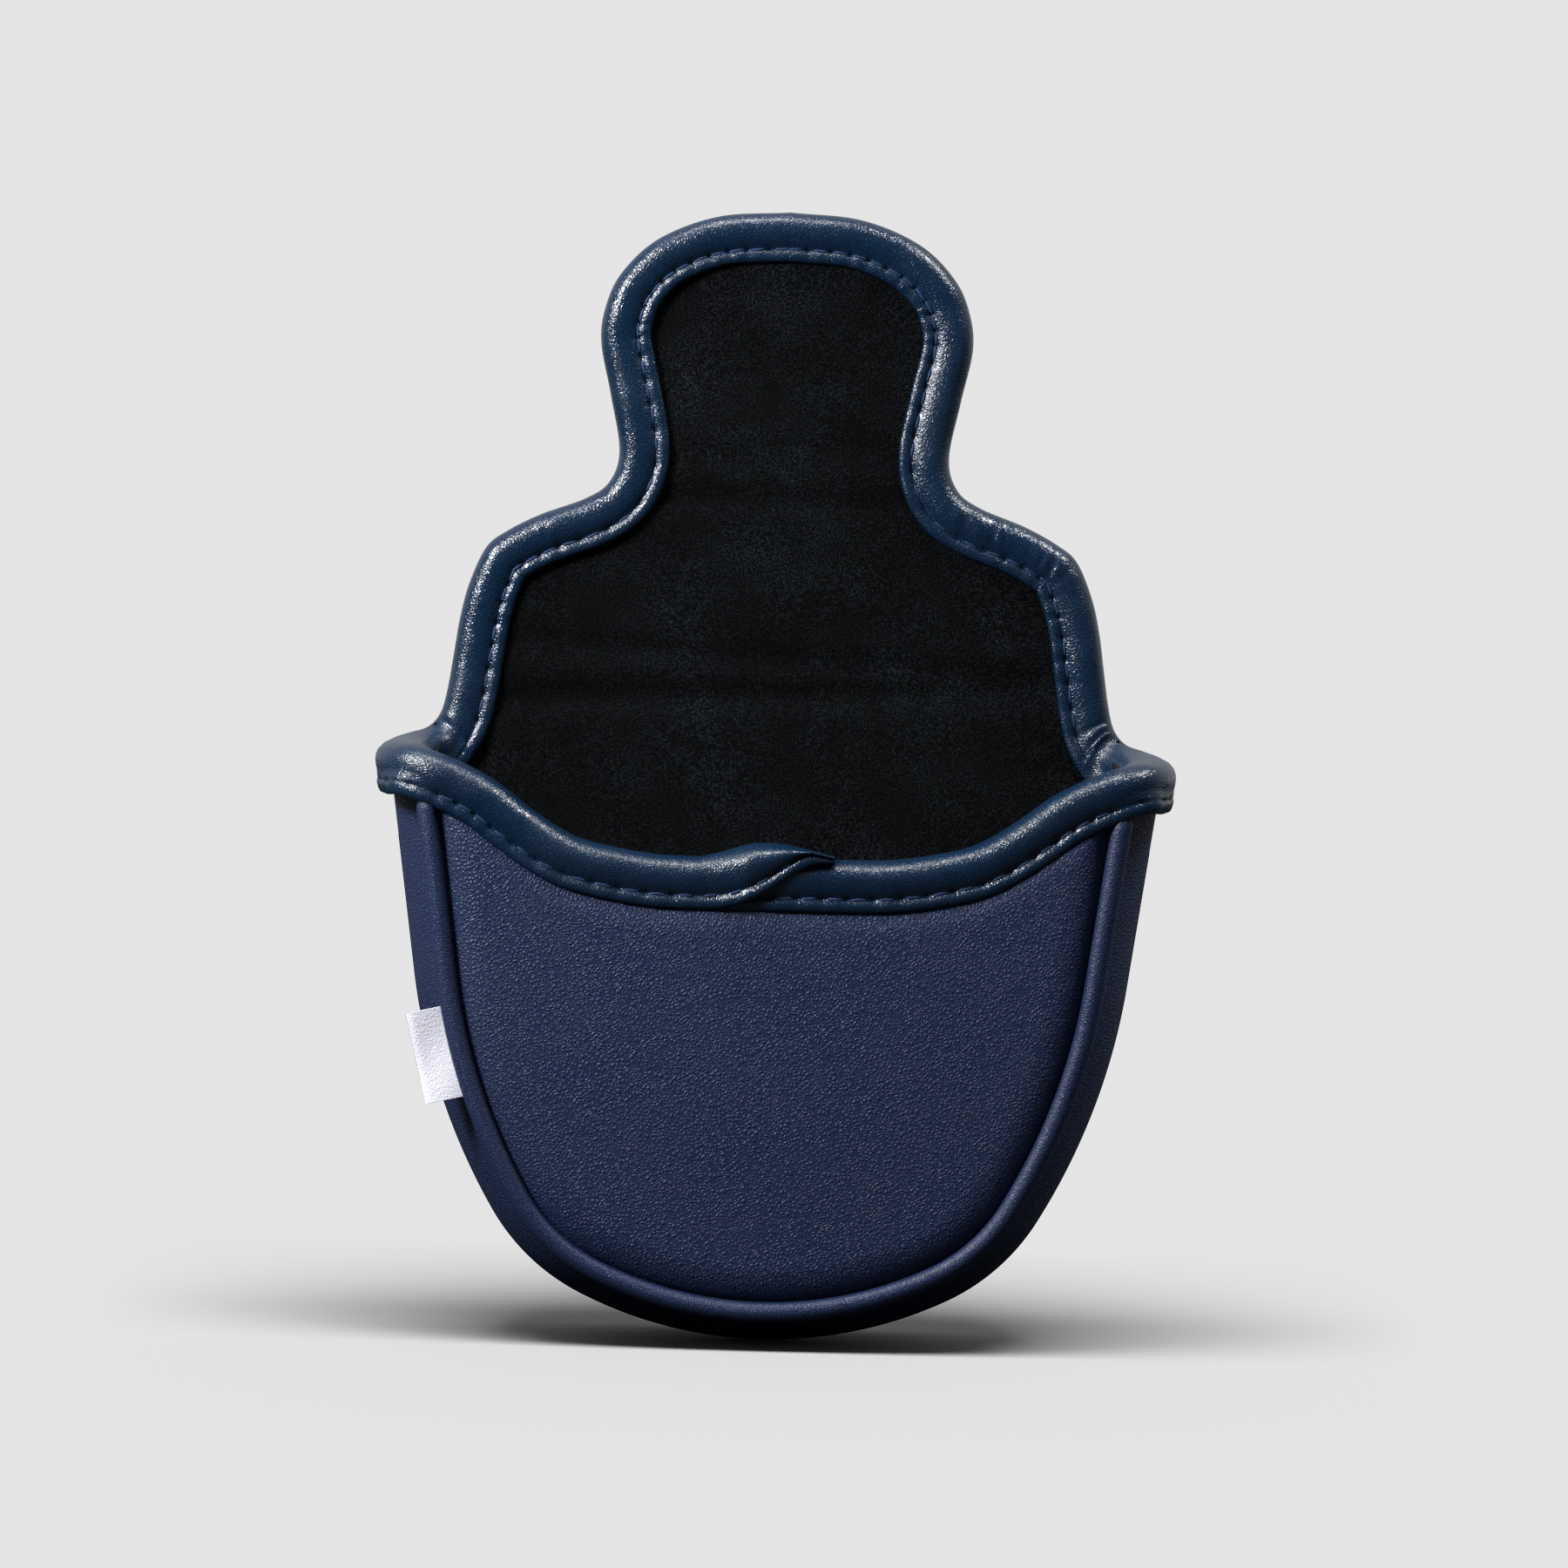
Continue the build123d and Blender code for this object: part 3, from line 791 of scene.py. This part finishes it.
def back_half(height, seam_inset, edge_inset):
    """Half width of the back wall at a height, with its insets from the seam and from the flap's edge."""
    if height < BOTTOM_END:
        half = seam_half(height - seam_inset) - seam_inset * 0.3
    elif height < EARS_Z:
        half = seam_half(height) - seam_inset
    else:
        half = float(np.interp(height, EDGE[:, 1], EDGE[:, 0])) - edge_inset
    return max(half, HAIR)


def back_rows(low, high, seam_inset, edge_inset, across=72):
    """Rows (x, z) of the back wall between two heights."""
    bottom = SEAM_SIDE[0, 1] + seam_inset
    top = FLAP_EDGE[-1][1] - edge_inset
    quarter = [k / ROUND_ROWS * math.pi / 2 for k in range(ROUND_ROWS)]
    heights = []
    if low <= bottom:
        heights += [bottom + (BOTTOM_END - bottom) * (1 - math.cos(turn)) for turn in quarter]
        low = BOTTOM_END
    heights += list(np.arange(low, min(high, TOP_START), 1.0))
    if high > TOP_START:
        heights += [TOP_START + (top - TOP_START) * math.sin(turn) for turn in quarter]
        high = top
    heights.append(high)
    rows = []
    for height in heights:
        half = back_half(height, seam_inset, edge_inset)
        rows.append(np.column_stack([np.linspace(-half, half, across), np.full(across, height)]))
    return rows


print("flap", round(2 * back_half(120, 0, 0)), "mm wide, neck", round(2 * back_half(146, 0, 0)), "mm")

# %% [markdown]
# Each layer has its own surface. The leather swells a little to the back. The velour has soft creases at
# the two folds, from the many times that the flap was closed, and a broad unevenness. The foam is flat.

# %% Surfaces of the three layers
def folds(x, z):
    """Soft creases across the velour at the two folds, and a broad unevenness (millimetres)."""
    low = 0.7 * near(z, 106 + 0.03 * x, 2.4) + 0.5 * near(z, 112 - 0.05 * x, 2.2)
    high = 0.55 * near(z, 138.5 - 0.02 * x, 2.2) + 0.3 * near(z, 146 + 0.05 * x, 2.4)
    broad = 0.3 * math.sin(x / 11 + z / 17) * math.sin(z / 13 - x / 23)
    return low + high + broad


def leather_surface(x, z):
    """Depths along one row of the back leather: a swell that dies out at the sides and at the bottom."""
    half = max(abs(x[0]), 1)
    swell = 1.0 * np.sqrt(np.clip(1 - (np.abs(x) / half) ** 6, 0, 1))
    return OUTER_Y - 0.3 - 0.6 + swell * min(1, (z[0] - 5) / 12)


def velour_surface(x, z):
    """Depths along one row of the back velour: creases that die out at the sides."""
    half = max(abs(x[0]), 1)
    creases = np.array([folds(a, b) for a, b in zip(x, z)])
    return INNER_Y + creases * np.clip((1 - np.abs(x) / half) * 6, 0, 1)


def foam_surface(x, z):
    """Depths along one row of the back foam."""
    return np.full(len(x), OUTER_Y - 1.7)


print("crease at the flap's fold", round(float(folds(0, 106)), 2), "mm")

# %% [markdown]
# The wall bends at two folds, so each layer is made in two pieces that meet between them: the lower one
# spans the flap's fold and the upper one the tongue's. One piece could bend at both, but a skin is shared
# by two bodies at most.

# %% Leather, velour and foam of the back wall
LAYERS = {
    "leather": (PANEL, "panel_leather", 1.3, 4.5, leather_surface, LEATHER, -1),
    "velour": (VELOUR, "velour", 0.9, 4.5, velour_surface, 1.6, 1),
    "foam": (FOAM, "foam", 2.2, 5.2, foam_surface, 2.5, -1),
}
LENGTHS = [("back", 0, SPLIT_Z, "pouch", "flap_base", FLAP_BEND),
           ("flap_and_tongue", SPLIT_Z, 190, "flap_base", "tongue", TONGUE_BEND)]
REPLACED = {
    ("back", "leather"): ["back_panel", "flap_panel"],
    ("flap_and_tongue", "leather"): ["tongue_panel"],
    ("back", "velour"): ["back_lining", "flap_lining"],
    ("flap_and_tongue", "velour"): ["tongue_lining"],
    ("back", "foam"): ["back_padding", "flap_padding"],
    ("flap_and_tongue", "foam"): ["tongue_padding"],
}
for length, low, high, below, above, (start, end) in LENGTHS:
    for layer, (material, slot, seam_inset, edge_inset, surface, thickness, offset) in LAYERS.items():
        placed = []
        for row in back_rows(low, high, seam_inset, edge_inset):
            x, z = row[:, 0], row[:, 1]
            placed.append(np.column_stack([x, surface(x, z), z]))
        wall = make_piece(f"{length}_{layer}", placed, material, None)
        thicken(wall, thickness, offset)
        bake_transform(wall)
        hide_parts(*REPLACED[length, layer])


# %% [markdown]
# ## Inside the pouch
# The velour goes on down the inside of the front wall and round the inside of the gusset. Both are seen
# only from above, so they are plain skins with their real thickness.

# %% Velour of the front wall and of the gusset
front_velour = front_skin("front_velour", wall_rows(0.9, 5.0), [INNER_Y] * WALL_ROWS, VELOUR)
thicken(front_velour, 1.5, 1)
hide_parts("front_lining")
gusset_velour = band("gusset_velour", lambda y: -1.8, INNER_Y - 0.1, 2.0, VELOUR, across=21,
                     count=120)
thicken(gusset_velour, 1.6, 1)
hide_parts("gusset_lining")

# %% [markdown]
# ## Stitches
# The binding is sewn through, so a row of stitches lies in its groove on both faces. A stitch is a short
# rounded bar. One is modelled from a sphere with few faces, because it is copied hundreds of times.

# %% One stitch
STITCH_SIZE = (1.35, 0.28, 0.26)      # half its length, width and height
STITCH_DEPTH = 3.72                   # height of its middle over the middle of the wall
bpy.ops.object.select_all(action="DESELECT")
bpy.ops.mesh.primitive_uv_sphere_add(segments=8, ring_count=6, radius=1)
pattern = bpy.context.object
pattern.scale = STITCH_SIZE
bpy.ops.object.transform_apply(scale=True)
STITCH = np.array([v.co for v in pattern.data.vertices])
STITCH_FACES = [tuple(p.vertices) for p in pattern.data.polygons]
bpy.data.objects.remove(pattern)
print("one stitch has", len(STITCH_FACES), "faces")

# %% [markdown]
# The stitches follow the binding's route at an even pitch. The left strip's stitches stop where its lap
# begins, and those of the lap climb with its flange. Each spot is a centre and three directions.

# %% Where the stitches lie
def stitch_spots(first, last):
    """Centre and directions of each stitch between two stations, on both faces and both sides."""
    spots = []
    start = math.ceil(ALONG[first] / STITCH_PITCH) * STITCH_PITCH
    for number, along in enumerate(np.arange(start + STITCH_PITCH / 2, ALONG[last] - 0.5, STITCH_PITCH)):
        i = int(np.argmin(np.abs(ALONG - along)))
        place, out, inward = PLACE[i], OUT[i], INWARD[i]
        run = np.cross(inward, out) + inward * 0.06 * math.sin(number * 2.3)
        under_the_lap = place[1] < 0 and place[0] < -LAP_X[0]
        for mirror in (1,) if under_the_lap else (1, -1):
            for face in (1, -1):
                centre = place + inward * STITCH_INSET + out * STITCH_DEPTH * face
                spots.append([v * (mirror, 1, 1) for v in (centre, run, inward, out)])
    return spots


def lap_spots():
    """The same for the stitches that climb along the lap."""
    line = np.array([(x, lap_heights(x)[1]) for x in np.linspace(LAP_X[0], 3.8, 40)])
    steps = int(np.linalg.norm(np.diff(line, axis=0), axis=1).sum() / STITCH_PITCH)
    ends = spaced(line, 2 * steps + 1)
    spots = []
    for before, (x, height), after in zip(ends[::2], ends[1::2], ends[2::2]):
        run = np.array([after[0] - before[0], 0, after[1] - before[1]])
        run /= np.linalg.norm(run)
        out = np.array([0.0, -1.0, 0.0])
        for face in (1, -1):
            centre = np.array([x, PLACE[0][1], height]) + out * (STITCH_DEPTH + lap_lift(x)) * face
            spots.append([centre, run, np.cross(out, run), out])
    return spots


print(len(lap_spots()), "stitches on the lap")

# %% [markdown]
# All stitches of one body become one piece, which keeps the list of pieces short.

# %% Rows of stitches
def lay_stitches(name, spots, body=None):
    """Copies the stitch to each spot, as one piece."""
    verts, faces = [], []
    for centre, run, width, height in spots:
        base = len(verts)
        points = (centre + np.outer(STITCH[:, 0], run) + np.outer(STITCH[:, 1], width)
                  + np.outer(STITCH[:, 2], height))
        verts += [tuple(p * MM) for p in points]
        faces += [tuple(base + v for v in f) for f in STITCH_FACES]
    mesh = bpy.data.meshes.new(name)
    mesh.from_pydata(verts, [], faces)
    obj = bpy.data.objects.new(name, mesh)
    bpy.context.collection.objects.link(obj)
    bpy.ops.object.select_all(action="DESELECT")
    bpy.context.view_layer.objects.active = obj
    obj.select_set(True)
    bpy.ops.object.mode_set(mode="EDIT")
    bpy.ops.mesh.select_all(action="SELECT")
    bpy.ops.mesh.normals_make_consistent(inside=False)
    bpy.ops.object.mode_set(mode="OBJECT")
    bpy.ops.object.shade_smooth()
    obj.data.materials.append(THREAD)
    if body:
        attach(obj, body)
    print(name, len(spots), "stitches")
    return obj


rim_thread = lay_stitches("rim_thread", stitch_spots(0, corner) + lap_spots(), "pouch")
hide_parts("rim_stitches")
flap_thread = lay_stitches("flap_thread", stitch_spots(corner, middle))
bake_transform(flap_thread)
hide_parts("flap_stitches")
tongue_thread = lay_stitches("tongue_thread", stitch_spots(middle, STATIONS - 1))
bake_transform(tongue_thread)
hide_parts("tongue_stitches")

# %% [markdown]
# ## Side label
# A short loop of woven tape is caught in the front seam, folded at its outer end. It is left bare. The loop
# is drawn once from the front layer round the fold to the back layer, and repeated along the tape's width.

# %% Label
LABEL_Y = -16.3
LABEL_Z = 47.5            # height where it leaves the seam
LABEL_REACH = 7.4         # how far it stands out of the seam line
LABEL_DEPTH = 8.0         # how far each layer runs back from the fold
LABEL_WIDTH = 15.0
LABEL_GAP = 0.42          # half the gap between its layers
LABEL_LEAN = math.radians(13.5)
flank = pouch_half(BULGE, 95, 400)
spot = flank[int(np.argmin(np.abs(flank[:, 1] - LABEL_Z)))]
foot = np.array([-spot[0], LABEL_Y, spot[1]])
outwards = np.array([-math.cos(LABEL_LEAN), 0, -math.sin(LABEL_LEAN)])
upwards = np.array([-math.sin(LABEL_LEAN), 0, math.cos(LABEL_LEAN)])
rows = []
for k in np.linspace(-0.5, 0.5, 20):
    loop = []
    for t in np.linspace(-1, 1, 31):
        reach = LABEL_REACH - LABEL_DEPTH * abs(t) ** 1.1 if abs(t) > 0.06 else LABEL_REACH
        gap = LABEL_GAP * math.copysign(min(1, abs(t) * 9), t) if t else 0
        wave = 0.25 * math.sin(k * 5 + reach * 0.3)
        loop.append(foot + outwards * reach + upwards * LABEL_WIDTH * k
                    + np.array([0, gap * (1 - 0.3 * abs(t)) + wave, 0]))
    rows.append(loop)
label = make_piece("side_label_tape", rows, TAPE, "pouch")
thicken(label, 0.28, 0)
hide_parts("side_label")

# %% [markdown]
# ## Hidden pieces
# The cords inside the piping, the foam in the gusset and the two magnets keep their CAD shapes. They only
# get their finishes.

# %% Finishes of the CAD pieces
HIDDEN = {"gusset_padding": FOAM, "front_piping_cord": CORD, "back_piping_cord": CORD,
          "front_magnet": MAGNET, "tongue_magnet": MAGNET}
for name, material in HIDDEN.items():
    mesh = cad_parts[name].data
    mesh.materials.clear()
    mesh.materials.append(material)
    print(name, "in", material.name)

# %% [markdown]
# ## Floor, light and camera
# The floor only catches the shadow, so the pale background runs on across it. Its own colour is dark, so
# that it throws no light back up at the leather.

# %% Floor
BACKGROUND = 0.78
bpy.ops.object.select_all(action="DESELECT")
bpy.ops.mesh.primitive_plane_add(size=6, location=(0, 0, -0.0002))
floor = bpy.context.object
floor.name = "floor"
floor.is_shadow_catcher = True
floor_look = bpy.data.materials.new("floor")
floor_look.use_nodes = True
floor_shader = floor_look.node_tree.nodes["Principled BSDF"]
floor_shader.inputs["Base Color"].default_value = (0.03, 0.03, 0.03, 1)
floor_shader.inputs["Specular IOR Level"].default_value = 0.0
floor_shader.inputs["Roughness"].default_value = 0.9
floor.data.materials.append(floor_look)
print("floor", tuple(floor.dimensions), "background", BACKGROUND)

# %% [markdown]
# The room is pale behind the cover and dark in front of it, which draws a thin bright edge round the
# leather without lamps at the sides. The camera itself sees an even pale wall.

# %% Room
ROOM_FRONT, ROOM_BACK = 0.12, 0.55
world = bpy.context.scene.world or bpy.data.worlds.new("world")
bpy.context.scene.world = world
world.use_nodes = True
nodes, links = world.node_tree.nodes, world.node_tree.links
nodes.clear()
path = nodes.new("ShaderNodeLightPath")
seen = nodes.new("ShaderNodeBackground")
seen.inputs["Color"].default_value = (BACKGROUND, BACKGROUND, BACKGROUND, 1)
direction = nodes.new("ShaderNodeSeparateXYZ")
links.new(nodes.new("ShaderNodeTexCoord").outputs["Generated"], direction.inputs["Vector"])
lit = nodes.new("ShaderNodeBackground")
strength = spread(nodes, links, direction.outputs["Y"], -0.4, 0.7, ROOM_FRONT, ROOM_BACK)
links.new(strength, lit.inputs["Strength"])
mix = nodes.new("ShaderNodeMixShader")
links.new(path.outputs["Is Camera Ray"], mix.inputs["Fac"])
links.new(lit.outputs["Background"], mix.inputs[1])
links.new(seen.outputs["Background"], mix.inputs[2])
links.new(mix.outputs["Shader"], nodes.new("ShaderNodeOutputWorld").inputs["Surface"])
print("room from", ROOM_FRONT, "in front to", ROOM_BACK, "behind")


# %% [markdown]
# A small lamp at the upper left models the padding and draws the bright streaks on the left of the roll. A
# second at the upper right draws the streak on the rim's left slope. A broad one above lights the tops of
# the rolls. They leave the floor alone. A fourth lamp lights only the floor, from above and a little in
# front, so the shadow stays under the cover and behind it.

# %% Lamps
def lamp(name, place, aim, width, height, power):
    """A rectangular lamp at a place, turned to a point."""
    data = bpy.data.lights.new(name, "AREA")
    data.shape = "RECTANGLE"
    data.size, data.size_y = width, height
    data.energy = power
    obj = bpy.data.objects.new(name, data)
    bpy.context.collection.objects.link(obj)
    obj.location = place
    away = np.array(place) - np.array(aim)
    tilt = math.atan2(math.hypot(away[0], away[1]), away[2])
    obj.rotation_euler = (tilt, 0, math.atan2(away[0], -away[1]))
    print(name, power, "W")
    return obj


key = lamp("key", (-0.32, -0.22, 0.33), (0, 0, 0.09), 0.13, 0.13, 3.8)
edge = lamp("edge", (0.40, -0.06, 0.64), (0, 0, 0.09), 0.18, 0.18, 3.5)
top = lamp("top", (-0.12, -0.16, 0.9), (0, 0, 0.09), 0.4, 0.24, 5)
over_floor = lamp("over_floor", (0, -0.25, 0.80), (0, 0, 0), 0.6, 0.4, 12)
linked = {"EXCLUDE": [key, edge, top], "INCLUDE": [over_floor]}
for state, lamps in linked.items():
    chosen = bpy.data.collections.new("floor_" + state.lower())
    chosen.objects.link(floor)
    chosen.collection_objects[0].light_linking.link_state = state
    for each in lamps:
        each.light_linking.receiver_collection = chosen

# %% [markdown]
# The camera stands straight in front, just above the middle of the cover, with a long lens, as for a
# catalogue. A slight roll matches the way the cover leans.

# %% Camera
DISTANCE = 1.0
FRAME_WIDTH = 0.2585
ELEVATION = math.radians(1.0)
ROLL = math.radians(1.5)
AIM_X, AIM_Z = 0.0014, 0.0916
camera_data = bpy.data.cameras.new("camera")
camera_data.sensor_width = 36
camera_data.lens = 36 * DISTANCE / FRAME_WIDTH
camera = bpy.data.objects.new("camera", camera_data)
bpy.context.collection.objects.link(camera)
camera.location = (AIM_X, -DISTANCE * math.cos(ELEVATION), AIM_Z + DISTANCE * math.sin(ELEVATION))
turn = Matrix.Rotation(math.radians(90) - ELEVATION, 3, "X") @ Matrix.Rotation(ROLL, 3, "Z")
camera.rotation_euler = turn.to_euler()
bpy.context.scene.camera = camera
bpy.context.scene.view_settings.view_transform = "Standard"
print("lens", round(camera_data.lens), "mm")
